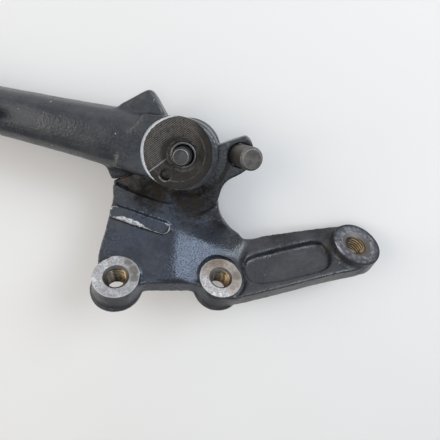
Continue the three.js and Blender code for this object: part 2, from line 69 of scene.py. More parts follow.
BOSS_CENTRE = {side: hole_centre(side) for side in ("left", "middle", "right")}
BOSS_AXIS = Vector(mounts["boss_middle_face"]["axis"]).normalized()
ROW = (BOSS_CENTRE["middle"] - BOSS_CENTRE["left"]).normalized()
SEAT_Z = mounts["switch_seat"]["pos_m"][2]


def frame_at(origin, z_axis, x_axis):
    """Matrix of a frame with the given origin, Z axis and rough X axis."""
    z = Vector(z_axis).normalized()
    y = z.cross(Vector(x_axis)).normalized()
    x = y.cross(z)
    return Matrix.Translation(Vector(origin)) @ Matrix((x, y, z)).transposed().to_4x4()


# The mounting frame: its origin is the middle of the middle boss's face, +Z is the axis of the bosses and +X
# runs from the left boss to the middle one.
MOUNT = frame_at(BOSS_CENTRE["middle"], BOSS_AXIS, ROW)


def at(x, y, z=0.0):
    """A point given in millimetres of the part's own frame."""
    return Vector((x * MM, y * MM, z * MM))


def at_mount(x, y, z=0.0):
    """A point given in millimetres of the mounting frame."""
    return MOUNT @ at(x, y, z)


def boss_frame(side):
    """Frame of a boss: its origin in the middle of the face, +Z along the boss's axis."""
    return frame_at(BOSS_CENTRE[side], BOSS_AXIS, ROW)


def at_boss(side, x, y):
    """A point on the face of a boss, in millimetres from its middle."""
    return boss_frame(side) @ at(x, y)


# ---- sizes, in millimetres

SIDES = ("left", "middle", "right")
BOSS_R = {"left": 10.3, "middle": 10.3, "right": 12.3}
BOSS_HEIGHT = {"left": 13.5, "middle": 12.0, "right": 10.0}
SINK = {"left": (5.8, 1.5), "middle": (5.6, 1.0), "right": (7.4, 1.6)}  # mouth radius, depth
SCREW = {"minor": 4.35, "major": 5.15, "pitch": 1.5}
BOLT_SCREW = {"minor": 5.3, "major": 6.15, "pitch": 1.5}
BOLT_SINK = (7.1, 1.1)
THREAD_RUN = 8  # how far the threads run on below the bosses
TAP_TOP = 0.6  # height over a face, where the cutter of its thread ends
MILL_CLEAR = {"left": 0.5, "right": 1.5}  # how far the mill went past the edge of a face
MILL_TOP = 20  # height over a face, where the mill's cutter ends
FLANGE = {"proud": 1.7, "bottom": -11.8, "top": -9.6}  # forged edge under the two lower bosses
MOAT = {"width": 1.4, "depth": 0.6}  # milled round the face of the middle boss
ABOVE = 60  # height over everything, where cutters end
SHARP_ANGLE = 32  # degrees between faces, from which an edge is shaded sharp

LUG = (14.6, 25.2)
EAR_GAP = (14.3, 25.5)
SWEEP_R = 19.5
WEB_R = 16.0
BORE_R = 8.7
SHANK_HOLE_R = 6.7
SEAL_R = 12.6
SEAL_DEPTH = 1.9
SEAT_X, SEAT_Y, SEAT_R = -2.6, 0.8, 15.4
SEAT = SEAT_Z / MM
RIM_Z = 34.4
REAR_Z = 8.3
FLAT_X, FLAT_Y, FLAT_R = 25.5, -25.5, 59.5
PEG_X, PEG_Y, PEG_R, PEG_DEPTH = -8.0, -8.5, 2.5, 5.0
BUSH = {"outer": 8.4, "inner": 6.7, "flange": 1.2}
HEAD = {"flats": 18.0, "height": 6.2}

# The plate in the mounting frame: its height at the origin and its slopes along X and Y.
PLATE = (-8.25, 0.0555, 0.967)
# The same plate in the part's frame: a point of its top and its slopes along X and Y.
PLATE_POINT = (-8, -24, 25.6)
PLATE_SLOPES = (-0.21, -0.18)

# The surface round the two lower bosses, in the mounting frame. Each line holds a point of its lower edge,
# of its crease and of its upper edge; a height of None lies on the plate.
FACET = [
    ((-53, 9, -1.7), (-53, 10.2, None), (-53, 16, None)),
    ((-46, 5.5, -1.4), (-46, 12.3, None), (-46, 17, None)),
    ((-39, 2, -0.9), (-39, 14.7, None), (-39, 19, None)),
    ((-33, -0.3, -0.5), (-33, 17.1, None), (-33, 21, None)),
    ((-27, -1.3, -0.2), (-27, 18.8, None), (-26, 22, None)),
    ((-21.5, -1.5, 0), (-21.9, 20.2, None), (-17, 23, None)),
    ((-13, -1.6, -2), (-7.5, 17.4, 5.7), (-2, 22.8, None)),
    ((-8, -1.4, -3), (1.6, 15.4, 2.7), (1.9, 22.0, 11.0)),
    ((4, -3, -1.8), (8.0, 13.8, 0.6), (3.8, 21.8, 9.3)),
    ((9, -4, -1.9), (10.2, 11, -1.2), (8.6, 20.9, 5.9)),
    ((9.5, -4, -1.9), (11.5, 12.2, -0.9), (13.2, 20.9, 3.4)),
    ((10, -4, -1.9), (13, 13, -0.6), (17.5, 21.4, 2.3)),
]
CUT_FROM = 5  # from this line on, the surface also cuts down what stands above it
FACET_DEPTH = -9.0
FACET_CLEAR = 24.0

PAD_ENDS = ((-31.7, -25.7), (-10.9, -34.2))
PAD_MIDDLE = (-21.3, -30)
PAD_R = 2.9
PAD_PROUD = 1.5
PAD_CLEAR = 2.0  # width round the pad where the plate is cut clean

ARM_RUN = (0.985, 0.171)  # direction of the arm in the mounting frame, across its Z axis
ARM_DROP = 1.0
ARM_RISE = 0.193
POCKET_SPAN = (20.5, 49.5)  # between the centres of the pocket's round ends, along the arm


# ---- mesh tools


def link(name, data):
    """A new object in the scene for a mesh, lamp or camera."""
    made = bpy.data.objects.new(name, data)
    bpy.context.scene.collection.objects.link(made)
    return made


def mesh_object(name, vertices, faces):
    """An object from vertices in metres and faces, with its normals pointing out."""
    mesh = bpy.data.meshes.new(name)
    mesh.from_pydata([tuple(v) for v in vertices], [], faces)
    work = bmesh.new()
    work.from_mesh(mesh)
    bmesh.ops.recalc_face_normals(work, faces=work.faces)
    work.to_mesh(mesh)
    work.free()
    return link(name, mesh)


def about_z(radius, angle, height):
    """A point from its distance from the Z axis, its angle and its height, in millimetres and radians."""
    return Vector((radius * math.cos(angle), radius * math.sin(angle), height)) * MM


def turned(name, profile, place=None, segments=96):
    """A body turned about Z from [radius, height] in millimetres, from axis to axis or closed."""
    place = place or Matrix.Identity(4)
    closed = profile[0] == profile[-1]
    rows = profile[:-1] if closed else profile
    vertices, rings = [], []
    for radius, height in rows:
        count = segments if radius > 0 else 1
        ring = []
        for i in range(count):
            ring.append(len(vertices))
            vertices.append(place @ about_z(radius, 2 * math.pi * i / segments, height))
        rings.append(ring)
    faces = []
    pairs = list(zip(rings, rings[1:])) + ([(rings[-1], rings[0])] if closed else [])
    for low, high in pairs:
        for i in range(segments):
            j = (i + 1) % segments
            corners = [low[i % len(low)], low[j % len(low)], high[j % len(high)], high[i % len(high)]]
            faces.append(list(dict.fromkeys(corners)))
    return mesh_object(name, vertices, [f for f in faces if len(f) > 2])


def tap(place, bottom, top, screw, mouth, mouth_depth, face=0.0):
    """The space of a threaded hole with a countersink whose mouth lies at the height of the face."""
    columns = 80
    rows_per_turn = 12
    count = int((top - bottom) / screw["pitch"] * rows_per_turn)
    vertices, faces = [], []
    for row in range(count + 1):
        height = bottom + (top - bottom) * row / count
        cone = mouth + (height - face) * (mouth - screw["minor"]) / mouth_depth
        for column in range(columns):
            turn = column / columns
            phase = (height / screw["pitch"] - turn) % 1
            groove = min(1, max(0, (1 - abs(2 * phase - 1)) * 1.35 - 0.15))
            radius = screw["minor"] + (screw["major"] - screw["minor"]) * groove
            radius = max(radius, min(cone, mouth + 1))
            vertices.append(place @ about_z(radius, 2 * math.pi * turn, height))
    for row in range(count):
        for column in range(columns):
            ahead = (column + 1) % columns
            here = row * columns
            faces.append([here + column, here + ahead, here + columns + ahead, here + columns + column])
    faces.append(list(range(columns)))
    faces.append(list(range(count * columns, (count + 1) * columns)))
    return mesh_object("tap", vertices, faces)


def plug(radius, bottom, top, place=None, x=0.0, y=0.0, segments=96):
    """A plain round plug or cutter along Z, in millimetres."""
    place = (place or Matrix.Identity(4)) @ Matrix.Translation(at(x, y))
    return turned("plug", [(0, bottom), (radius, bottom), (radius, top), (0, top)], place, segments)


def bake(piece):
    """Applies the modifiers of a piece to its mesh."""
    graph = bpy.context.evaluated_depsgraph_get()
    mesh = bpy.data.meshes.new_from_object(piece.evaluated_get(graph))
    piece.modifiers.clear()
    piece.data = mesh
    return piece


def boolean(piece, tools, operation):
    """Joins tools to a piece or cuts them from it, and removes the tools."""
    for tool in tools:
        change = piece.modifiers.new("boolean", "BOOLEAN")
        change.operation = operation
        change.solver = "MANIFOLD"
        change.object = tool
        bake(piece)
        bpy.data.objects.remove(tool)
    return piece


def copy_of(node, name):
    """A new piece with a copy of a CAD node's mesh."""
    mesh = frame["nodes"][node].data.copy()
    mesh.materials.clear()
    work = bmesh.new()
    work.from_mesh(mesh)
    bmesh.ops.remove_doubles(work, verts=work.verts, dist=1e-6)
    work.to_mesh(mesh)
    work.free()
    return link(name, mesh)


def remesh(piece, voxel):
    """Rebuilds a piece with an even mesh of the given step in millimetres."""
    change = piece.modifiers.new("remesh", "REMESH")
    change.mode = "VOXEL"
    change.voxel_size = voxel * MM
    return bake(piece)


def rows_of(items, key, width=3, kind=np.float32):
    """One value of all items of a mesh, as the rows of an array."""
    flat = np.empty(len(items) * width, kind)
    items.foreach_get(key, flat)
    return flat.reshape(-1, width)


def points_of(piece):
    """The vertices of a piece as an array, in metres."""
    return rows_of(piece.data.vertices, "co", kind=np.float64)


def normals_of(piece):
    """The normals of a piece's vertices as an array."""
    return rows_of(piece.data.vertex_normals, "vector")


def set_points(piece, points):
    """Moves the vertices of a piece to points in metres."""
    piece.data.vertices.foreach_set("co", points.astype(np.float32).ravel())
    piece.data.update()


def neighbours(piece):
    """Both ends of every edge, each way round, and the number of neighbours of each vertex."""
    ends = rows_of(piece.data.edges, "vertices", 2, np.int64)
    here = np.concatenate([ends[:, 0], ends[:, 1]])
    there = np.concatenate([ends[:, 1], ends[:, 0]])
    return here, there, np.bincount(here, minlength=len(piece.data.vertices)).clip(1)


def in_frame(points, place):
    """Points in metres as millimetres of a frame."""
    return (points - np.array(place.translation)) @ np.array(place.to_3x3()) / MM


def mean_of_neighbours(points, here, there, count):
    """The middle of each vertex's neighbours."""
    sums = [np.bincount(here, weights=points[there, k], minlength=len(points)) for k in range(3)]
    return np.stack(sums, 1) / count[:, None]


def relax(piece, rounds, weight=0.5):
    """Rounds off edges and hollows; weight may differ from vertex to vertex."""
    points = points_of(piece)
    here, there, count = neighbours(piece)
    step = np.broadcast_to(np.asarray(weight, float), len(points))[:, None]
    for _ in range(rounds):
        points = points + (mean_of_neighbours(points, here, there, count) - points) * step
    set_points(piece, points)
    return piece


def roughen(piece, amount, size, seed):
    """The uneven skin of a forging: moves vertices in and out by amount, over lumps of a size."""
    points = points_of(piece)
    shift = Vector((seed, 2.7 * seed, 4.1 * seed))
    heights = np.array([noise.fractal(Vector(p) / (size * MM) + shift, 1.0, 2.0, 3) for p in points])
    set_points(piece, points + normals_of(piece) * (heights * amount * MM)[:, None])
    return piece


def smoothstep(value, low, high):
    """0 up to low, 1 from high on, and smooth between them."""
    t = np.clip((value - low) / (high - low), 0, 1)
    return t * t * (3 - 2 * t)


def write_marks(piece, edge, hollow):
    """Stores how far each vertex is on an outside edge and in an inside corner, for the materials."""
    for name, values in (("edge", edge), ("hollow", hollow)):
        layer = piece.data.attributes.new(name, "FLOAT", "POINT")
        layer.data.foreach_set("value", values.astype(np.float32))


def mark_edges(piece):
    """Marks the edges and hollows of a forged piece, from how its surface bends."""
    points = points_of(piece)
    here, there, count = neighbours(piece)
    middle = mean_of_neighbours(points, here, there, count)
    length = np.linalg.norm(points[here] - points[there], axis=1)
    step = np.bincount(here, weights=length, minlength=len(points)) / count
    bulge = ((points - middle) * normals_of(piece)).sum(1) / np.maximum(step, 1e-6)
    for _ in range(2):
        bulge = 0.4 * bulge + 0.6 * np.bincount(here, weights=bulge[there], minlength=len(points)) / count
    write_marks(piece, smoothstep(bulge, 0.03, 0.16), smoothstep(-bulge, 0.02, 0.10))


def mark_corners(piece):
    """Marks the edges and hollows of a turned piece: only its corners count, not its round surface."""
    edge = np.zeros(len(piece.data.vertices))
    hollow = np.zeros(len(piece.data.vertices))
    work = bmesh.new()
    work.from_mesh(piece.data)
    for bend in work.edges:
        angle = math.degrees(bend.calc_face_angle_signed(0))
        for vertex in bend.verts:
            edge[vertex.index] = max(edge[vertex.index], angle)
            hollow[vertex.index] = max(hollow[vertex.index], -angle)
    work.free()
    write_marks(piece, smoothstep(edge, 7, 20), smoothstep(hollow, 7, 20))


def faces_of(piece):
    """Centres and normals of the faces, as arrays."""
    faces = piece.data.polygons
    return rows_of(faces, "center"), rows_of(faces, "normal")


def paint_faces(piece, materials, index):
    """Gives the piece its materials, one index per face."""
    piece.data.materials.clear()
    for material in materials:
        piece.data.materials.append(material)
    piece.data.polygons.foreach_set("material_index", index.astype(np.int32))
    piece.data.update()


def place_piece(piece, body, node):
    """Shades a piece, lets it ride on a body, and hides the CAD node that it stands for."""
    piece.data.shade_smooth()
    piece.data.set_sharp_from_angle(angle=math.radians(SHARP_ANGLE))
    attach(piece, body)
    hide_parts(node)


# ---- shader tools


class Shader:
    """A material of procedural nodes, with short calls for the nodes that it needs."""

    def __init__(self, name):
        self.material = bpy.data.materials.new(name)
        self.material.use_nodes = True
        self.tree = self.material.node_tree
        self.bsdf = next(n for n in self.tree.nodes if n.type == "BSDF_PRINCIPLED")
        self.place = self.add("ShaderNodeTexCoord").outputs["Object"]

    def add(self, kind, inputs=(), **settings):
        """A new node, with values or links for its inputs in their order or by their key."""
        node = self.tree.nodes.new(kind)
        for key, value in settings.items():
            setattr(node, key, value)
        for key, value in inputs.items() if isinstance(inputs, dict) else enumerate(inputs):
            self.put(node.inputs[key], value)
        return node

    def put(self, socket, value):
        """Links a socket, or sets it to a number, colour or vector."""
        if isinstance(value, bpy.types.NodeSocket):
            self.tree.links.new(value, socket)
        elif socket.type == "RGBA":
            socket.default_value = (*value, 1.0)
        else:
            socket.default_value = value

    def math(self, operation, *values):
        """The result of a sum on numbers."""
        return self.add("ShaderNodeMath", values, operation=operation).outputs[0]

    def times(self, first, second):
        return self.math("MULTIPLY", first, second)

    def plus(self, first, second):
        return self.math("ADD", first, second)

    def minus(self, first, second):
        return self.math("SUBTRACT", first, second)

    def vector(self, operation, *values):
        """A vector, or the number that a dot product or a distance gives."""
        node = self.add("ShaderNodeVectorMath", values, operation=operation)
        return node.outputs["Value" if operation in ("DOT_PRODUCT", "DISTANCE") else "Vector"]

    def step(self, value, low, high, start=0.0, end=1.0):
        """A smooth step from start to end as the value goes from low to high."""
        inputs = (value, low, high, start, end)
        return self.add("ShaderNodeMapRange", inputs, interpolation_type="SMOOTHSTEP").outputs[0]

    def noise(self, size, detail=3.0, roughness=0.6):
        """Cloudy noise from 0 to 1 with lumps of a size in millimetres."""
        inputs = {"Vector": self.place, "Scale": 1 / (size * MM), "Detail": detail, "Roughness": roughness}
        return self.add("ShaderNodeTexNoise", inputs).outputs["Fac"]

    def jitter(self, amount, size, detail=3.0, roughness=0.55):
        """Noise around 0 that spans an amount."""
        return self.times(self.minus(self.noise(size, detail, roughness), 0.5), amount)

    def cells(self, size, feature="F1"):
        """Distance to the nearest of scattered points, which are a size in millimetres apart."""
        inputs = {"Vector": self.place, "Scale": 1 / (size * MM)}
        return self.add("ShaderNodeTexVoronoi", inputs, feature=feature).outputs["Distance"]

    def mix(self, share, first, second):
        """Mixes two colours."""
        return self.add("ShaderNodeMix", {0: share, 6: first, 7: second}, data_type="RGBA").outputs[2]

    def blend(self, share, first, second):
        """Mixes two numbers."""
        return self.add("ShaderNodeMix", {0: share, 2: first, 3: second}, data_type="FLOAT").outputs[0]

    def attribute(self, name):
        """A value that mark_edges or mark_corners has written."""
        return self.add("ShaderNodeAttribute", attribute_name=name).outputs["Fac"]

    def along(self, origin, axis):
        """Distance in millimetres from an origin along an axis."""
        offset = self.vector("SUBTRACT", self.place, Vector(origin))
        return self.vector("DOT_PRODUCT", offset, Vector(axis).normalized() / MM)

    def spot(self, centre, size, ragged=0.5, soft=0.5, grain=2.5):
        """A round patch of a radius in millimetres with a ragged, soft edge."""
        distance = self.math("DIVIDE", self.vector("DISTANCE", self.place, Vector(centre)), size * MM)
        return self.step(self.plus(distance, self.jitter(2 * ragged, grain, 4.0)), 1.0, 1.0 - soft)

    def relief(self, height, depth, below=None):
        """A bump of the given depth in millimetres."""
        inputs = {"Strength": 1.0, "Distance": depth * MM, "Height": height}
        if below is not None:
            inputs["Normal"] = below
        return self.add("ShaderNodeBump", inputs).outputs["Normal"]

    def largest(self, *masks):
        """The largest of some masks at each point."""
        total = masks[0]
        for mask in masks[1:]:
            total = self.math("MAXIMUM", total, mask)
        return total

    def finish(self, **inputs):
        """Sets the inputs of the surface and returns the material."""
        names = {"colour": "Base Color", "roughness": "Roughness", "metal": "Metallic", "normal": "Normal",
                 "specular": "Specular IOR Level", "tint": "Specular Tint"}
        for key, value in inputs.items():
            self.put(self.bsdf.inputs[names[key]], value)
        return self.material


# ---- materials

BLACK = (0.016, 0.018, 0.023)
HOLLOW_SHADE = (0.006, 0.006, 0.007)
DUST = (0.105, 0.090, 0.072)
EARTH = (0.040, 0.029, 0.020)
RUST = (0.110, 0.052, 0.026)
CHIP = (0.62, 0.62, 0.63)
SHINY = (0.66, 0.66, 0.68)
SILVER = (0.62, 0.59, 0.58)
GREASE_AND_SHADE = (0.010, 0.008, 0.006)
WHITE = (1.0, 1.0, 1.0)
WARM_REFLECTION = (1.0, 0.96, 0.92)
COOL_REFLECTION = (0.78, 0.84, 1.0)
PAINT_GLOSS = 0.7


def painted(name, dust, chips, wear=0.7, earth=(), rust=(), bare=(), grime_and_shade=(), pad=False):
    """Black stove enamel on a forging: orange peel, dust, chips, worn edges and the given patches."""
    s = Shader(name)
    peel = s.noise(1.0)
    grain = s.cells(0.95, "SMOOTH_F1")
    clouds = s.noise(11.0, 4.0)
    lumps = s.noise(2.6)
    edge = s.attribute("edge")
    hollow = s.attribute("hollow")

    colour = s.mix(s.step(clouds, 0.35, 0.7), BLACK, (0.025, 0.028, 0.034))
    # Painted shade: the enamel is darkened towards near black in hollows and inside corners.
    colour = s.mix(s.times(hollow, 0.7), colour, HOLLOW_SHADE)
    dusty = s.times(s.step(s.plus(clouds, lumps), 0.95, 1.35), dust)
    colour = s.mix(dusty, colour, DUST)
    rough = s.blend(dusty, s.step(clouds, 0.3, 0.7, 0.24, 0.34), 0.75)

    gloss = PAINT_GLOSS
    normal = s.relief(lumps, 0.10)
    # Dark grease patches with clods; where they lie on the lug under the leg's ear they are also painted
    # shade.
    if grime_and_shade:
        shade = s.times(s.largest(*patch_masks(s, grime_and_shade)), s.step(lumps, 0.3, 0.6, 0.5, 1.0))
        colour = s.mix(shade, colour, GREASE_AND_SHADE)
        rough = s.blend(shade, rough, 0.5)
        gloss = s.blend(shade, PAINT_GLOSS, 0.1)
        clods = s.times(s.noise(1.8, 4.0, 0.7), shade)
        normal = s.relief(clods, 0.5, normal)
    if earth:
        soil = s.times(s.largest(*patch_masks(s, earth)), s.step(lumps, 0.40, 0.62))
        colour = s.mix(soil, colour, EARTH)
        rough = s.blend(soil, rough, 0.85)
    if rust:
        stain = s.largest(*patch_masks(s, rust))
        colour = s.mix(stain, colour, RUST)
        rough = s.blend(stain, rough, 0.8)

    worn = s.times(s.step(edge, 0.5, 1.0), s.step(s.noise(1.7, 4.0, 0.7), 0.52, 0.64))
    small = s.step(s.cells(1.9), 0.20, 0.12)
    rare = s.step(s.noise(5.0), 0.60, 0.72)
    chip = s.times(s.times(small, rare), chips)
    extra = [pad_wear(s)] if pad else []
    metal = s.largest(s.times(worn, wear), chip, *patch_masks(s, bare), *extra)
    tarnish = s.step(s.noise(1.5, 4.0, 0.7), 0.48, 0.62)
    colour = s.mix(metal, colour, s.mix(tarnish, CHIP, (0.27, 0.20, 0.15)))
    rough = s.blend(metal, rough, 0.5)

    normal = s.relief(peel, 0.20, normal)
    normal = s.relief(grain, -0.07, normal)
    # Painted reflection: on the bracket the specular tint is cool round the facet between the lower bosses,
    # warm elsewhere.
    tint = s.mix(s.spot(at_mount(-24, 12, 2), 38, 0.15, 0.5), WARM_REFLECTION, COOL_REFLECTION) if pad else WHITE
    return s.finish(colour=colour, roughness=rough, metal=s.times(metal, 0.8), normal=normal,
                    specular=gloss, tint=tint)


def pad_wear(s):
    """Bare metal on the pad: a thin line round its ends and a band on its lower side, wider to the left."""
    (x0, y0), (x1, y1) = PAD_ENDS
    run = Vector((x1 - x0, y1 - y0, 0)).normalized()
    length = math.hypot(x1 - x0, y1 - y0)
    u = s.along(at(x0, y0), run)
    v = s.along(at(x0, y0), (-run.y, run.x, 0))
    beyond = s.minus(u, s.math("MINIMUM", s.math("MAXIMUM", u, 0.0), length))
    reach = s.math("SQRT", s.plus(s.times(beyond, beyond), s.times(v, v)))
    ragged = s.jitter(2.2, 1.3, 4.0, 0.65)
    wide = s.times(s.step(u, -1.5, 4.5), s.step(u, 18.0, 8.0))
    width = s.plus(s.plus(0.65, s.times(wide, 2.0)), ragged)
    inside = s.minus(PAD_R + 0.1, reach)
    band = s.times(s.step(inside, -0.1, 0.15), s.step(s.minus(width, inside), 0.0, 0.35))
    ends = s.largest(s.step(v, -0.2, -1.0), s.step(u, 0.5, -1.2), s.step(u, length - 1.0, length + 0.5))
    return s.times(s.times(band, ends), s.step(v, 2.9, 2.0))


def patch_masks(s, patches):
    """Masks of round patches, each given as centre, radius, raggedness, softness and strength."""
    return [s.times(s.spot(*patch), strength) for *patch, strength in patches]


def polar(s, place):
    """Coordinates on a face about its centre in millimetres: across, up and distance."""
    x = s.along(place.translation, place.col[0].xyz)
    y = s.along(place.translation, place.col[1].xyz)
    squares = s.plus(s.times(x, x), s.times(y, y))
    return x, y, s.math("SQRT", squares)


def machined_boss(side, base, bright_from, bright_side, stains, rim=(0.7, SHINY, 0.4)):
    """The milled face of a boss: turning marks, pits, stains, a brighter side and a rim of its own tint.

    The brighter side lies where a point's distance along the direction bright_side passes bright_from.
    """
    place = boss_frame(side)
    radius = BOSS_R[side]
    s = Shader(f"boss_{side}_milled")
    x, y, distance = polar(s, place)
    tool = s.math("SINE", s.times(distance, 2 * math.pi / 0.45))
    cloud = s.noise(2.2, 4.0)
    mottle = s.noise(0.9, 4.0, 0.7)
    pits = s.step(s.noise(0.6, 3.0, 0.7), 0.60, 0.68)
    reach = s.plus(s.times(x, bright_side[0]), s.times(y, bright_side[1]))
    wobble = s.times(s.minus(cloud, 0.5), 7.0)
    lit = s.step(s.plus(reach, wobble), bright_from, bright_from + 3.0)
    colour = s.mix(s.step(cloud, 0.35, 0.65), base, tuple(0.7 * c for c in base))
    colour = s.mix(lit, colour, SILVER)
    colour = s.mix(s.times(s.step(mottle, 0.42, 0.62), 0.6), colour, tuple(0.5 * c for c in base))
    # Painted highlight: near-white glints, strongest on the brighter side.
    glint = s.times(s.step(s.noise(1.9, 4.0, 0.65), 0.52, 0.62), s.blend(lit, 0.15, 0.75))
    colour = s.mix(glint, colour, (0.88, 0.87, 0.86))
    rough = s.blend(lit, 0.62, s.step(mottle, 0.35, 0.65, 0.38, 0.55))
    metal = 0.85
    for centre, size, tint, strength in stains:
        patch = s.times(s.spot(centre, size, 0.6, 0.5, 2.2), strength)
        colour = s.mix(patch, colour, tint)
        rough = s.blend(patch, rough, 0.7)
        metal = s.blend(patch, metal, 0.3)
    colour = s.mix(s.times(pits, 0.6), colour, (0.05, 0.035, 0.025))
    rim_width, rim_tint, rim_strength = rim
    outer = s.step(s.plus(distance, s.times(mottle, 0.8)), radius + 0.4 - rim_width, radius + 0.4)
    outer = s.times(outer, s.minus(1.0, lit))
    colour = s.mix(s.times(outer, rim_strength), colour, rim_tint)
    normal = s.relief(tool, 0.002)
    normal = s.relief(mottle, 0.06, normal)
    return s.finish(colour=colour, roughness=rough, metal=metal, normal=normal)


def screw_thread(side):
    """The thread of a screw hole: brown with oil, a painted warm reflection on the right, painted shade in
    the grooves.
    """
    place = boss_frame(side)
    s = Shader(f"{side}_screw_thread")
    x, _, distance = polar(s, place)
    depth = s.along(place.translation, place.col[2].xyz)
    cloud = s.noise(1.8)
    wobble = s.times(s.minus(cloud, 0.5), 3.0)
    # Painted reflection: the right side of the thread is tinted bright and warm, as if it caught light from
    # the floor.
    colour = s.mix(s.step(s.plus(x, wobble), -0.5, 3.0), (0.165, 0.135, 0.108), (0.66, 0.47, 0.25))
    colour = s.mix(s.step(cloud, 0.5, 0.75), colour, (0.10, 0.065, 0.04))
    # Painted shade: the grooves are darkened to near black.
    groove = s.step(distance, SCREW["minor"] + 0.10, SCREW["minor"] + 0.45)
    colour = s.mix(s.times(groove, 0.9), colour, (0.018, 0.014, 0.011))
    mouth = s.step(depth, -1.25, -0.9)
    colour = s.mix(mouth, colour, (0.14, 0.125, 0.112))
    rough = s.blend(mouth, s.step(cloud, 0.3, 0.7, 0.3, 0.42), 0.55)
    normal = s.relief(s.noise(0.7), 0.02)
    return s.finish(colour=colour, roughness=rough, metal=0.85, normal=normal)


def thread_metal(name, tint, dark, groove_darkening):
    """Cut threads, darkened in the grooves."""
    s = Shader(name)
    cloud = s.noise(1.6)
    colour = s.mix(s.step(cloud, 0.4, 0.65), tint, dark)
    colour = s.mix(s.times(s.attribute("hollow"), groove_darkening), colour, (0.04, 0.03, 0.02))
    normal = s.relief(s.noise(0.5), 0.04)
    return s.finish(colour=colour, roughness=s.step(cloud, 0.3, 0.7, 0.32, 0.5), metal=0.9, normal=normal)


def plain_steel(name, tint, dark, roughness, rust=0.15):
    """Plated or oiled steel with tarnish, worn edges and a little rust."""
    s = Shader(name)
    cloud = s.noise(3.5, 4.0)
    speck = s.step(s.noise(0.9, 4.0, 0.7), 0.60, 0.70)
    colour = s.mix(s.step(cloud, 0.35, 0.7), tint, dark)
    colour = s.mix(s.times(s.attribute("hollow"), 0.6), colour, (0.15, 0.13, 0.11))
    colour = s.mix(s.times(s.attribute("edge"), 0.7), colour, (0.75, 0.75, 0.76))
    rusty = s.times(speck, rust)
    colour = s.mix(rusty, colour, RUST)
    rough = s.blend(rusty, s.step(cloud, 0.3, 0.7, roughness, roughness + 0.15), 0.8)
    normal = s.relief(s.noise(0.6), 0.02)
    return s.finish(colour=colour, roughness=rough, metal=s.minus(1.0, rusty), normal=normal)


def seat_metal(name):
    """The milled switch seat: dotted hatch marks, wear rings, darker towards the lower right and near the
    middle, and a bright crescent on the left.
    """
    s = Shader(name)
    place = Matrix.Translation(at(SEAT_X, SEAT_Y, SEAT))
    x, y, distance = polar(s, place)
    cloud = s.noise(2.4, 4.0)
    grain = s.noise(0.45, 3.0, 0.7)
    across = s.plus(s.times(x, -0.574), s.times(y, 0.819))
    warp = s.times(cloud, 0.5)
    hatch = s.math("SINE", s.times(s.plus(across, warp), 2 * math.pi / 0.72))
    strokes = s.step(s.plus(hatch, s.times(grain, 4.0)), 2.1, 3.1)
    ring_line = s.math("ABSOLUTE", s.minus(s.plus(distance, warp), 12.4))
    ring = s.times(s.step(ring_line, 0.5, 0.1), s.step(cloud, 0.4, 0.6))
    # Darker towards the lower right and near the bolt tip in the middle; the hatch marks fade there.
    darker_zone = s.largest(s.step(y, -3.0, -9.0), s.step(x, 7.0, 12.0), s.step(distance, 8.0, 5.5))
    colour = s.mix(s.step(cloud, 0.35, 0.68), (0.060, 0.050, 0.042), (0.028, 0.024, 0.021))
    colour = s.mix(s.times(strokes, s.blend(darker_zone, 0.7, 0.25)), colour, (0.26, 0.235, 0.21))
    colour = s.mix(s.times(darker_zone, 0.7), colour, (0.018, 0.014, 0.011))
    colour = s.mix(s.times(ring, 0.5), colour, (0.16, 0.145, 0.13))
    leftward = s.plus(s.times(x, -0.93), s.times(y, 0.37))
    width = s.step(leftward, 1.0, 13.0, 0.0, 1.15)
    ragged = s.jitter(0.7, 1.1)
    inside = s.plus(s.minus(SEAT_R, distance), ragged)
    crescent = s.step(s.minus(width, inside), 0.0, 0.3)
    colour = s.mix(crescent, colour, (0.80, 0.78, 0.75))
    scratch_line = s.math("ABSOLUTE", s.plus(s.plus(across, -1.0), warp))
    scratch = s.times(s.step(scratch_line, 0.35, 0.1), s.step(x, 0.0, -9.0, 0.0, 0.4))
    colour = s.mix(scratch, colour, (0.70, 0.68, 0.66))
    bright = s.largest(crescent, scratch)
    normal = s.relief(strokes, 0.02)
    normal = s.relief(grain, 0.03, normal)
    return s.finish(colour=colour, roughness=s.blend(bright, 0.55, 0.35), metal=s.blend(bright, 0.55, 0.9),
                    normal=normal)


def bronze_metal():
    """Sintered bronze with open pores."""
    s = Shader("bush_bronze_satin")
    cloud = s.noise(2.0, 4.0)
    colour = s.mix(cloud, (0.58, 0.40, 0.17), (0.36, 0.24, 0.11))
    pores = s.step(s.noise(0.35, 2.0, 0.6), 0.62, 0.70)
    colour = s.mix(pores, colour, (0.08, 0.05, 0.03))
    normal = s.relief(pores, -0.02)
    return s.finish(colour=colour, roughness=s.blend(cloud, 0.3, 0.45), metal=0.95, normal=normal)


def seal_rubber():
    """Matt black rubber."""
    s = Shader("seal_rubber_matt")
    cloud = s.noise(1.5, 4.0)
    colour = s.mix(cloud, (0.016, 0.016, 0.016), (0.045, 0.042, 0.038))
    return s.finish(colour=colour, roughness=s.blend(cloud, 0.6, 0.85), normal=s.relief(cloud, 0.04))


# ---- bracket


def facet_block(lines, depth):
    """The block between the facet's surface and a flat surface at a depth, in the mounting frame."""
    height, slope_x, slope_y = PLATE
    vertices, faces = [], []
    for line in lines:
        points = [(x, y, height + slope_x * x + slope_y * y if z is None else z) for x, y, z in line]
        vertices += [at_mount(*point) for point in points]
        vertices += [at_mount(x, y, depth) for x, y, _ in reversed(points)]
    around = 2 * len(lines[0])
    last = len(vertices) - around
    for start in range(0, last, around):
        for i in range(around):
            j = (i + 1) % around
            faces.append([start + i, start + j, start + around + j])
            faces.append([start + i, start + around + j, start + around + i])
    return mesh_object("facet", vertices, faces + [list(range(around)), list(range(last, last + around))])


def plate_height(x, y):
    """Height of the top of the plate over a point of the part's frame, in millimetres."""
    return PLATE_POINT[2] + PLATE_SLOPES[0] * (x - PLATE_POINT[0]) + PLATE_SLOPES[1] * (y - PLATE_POINT[1])


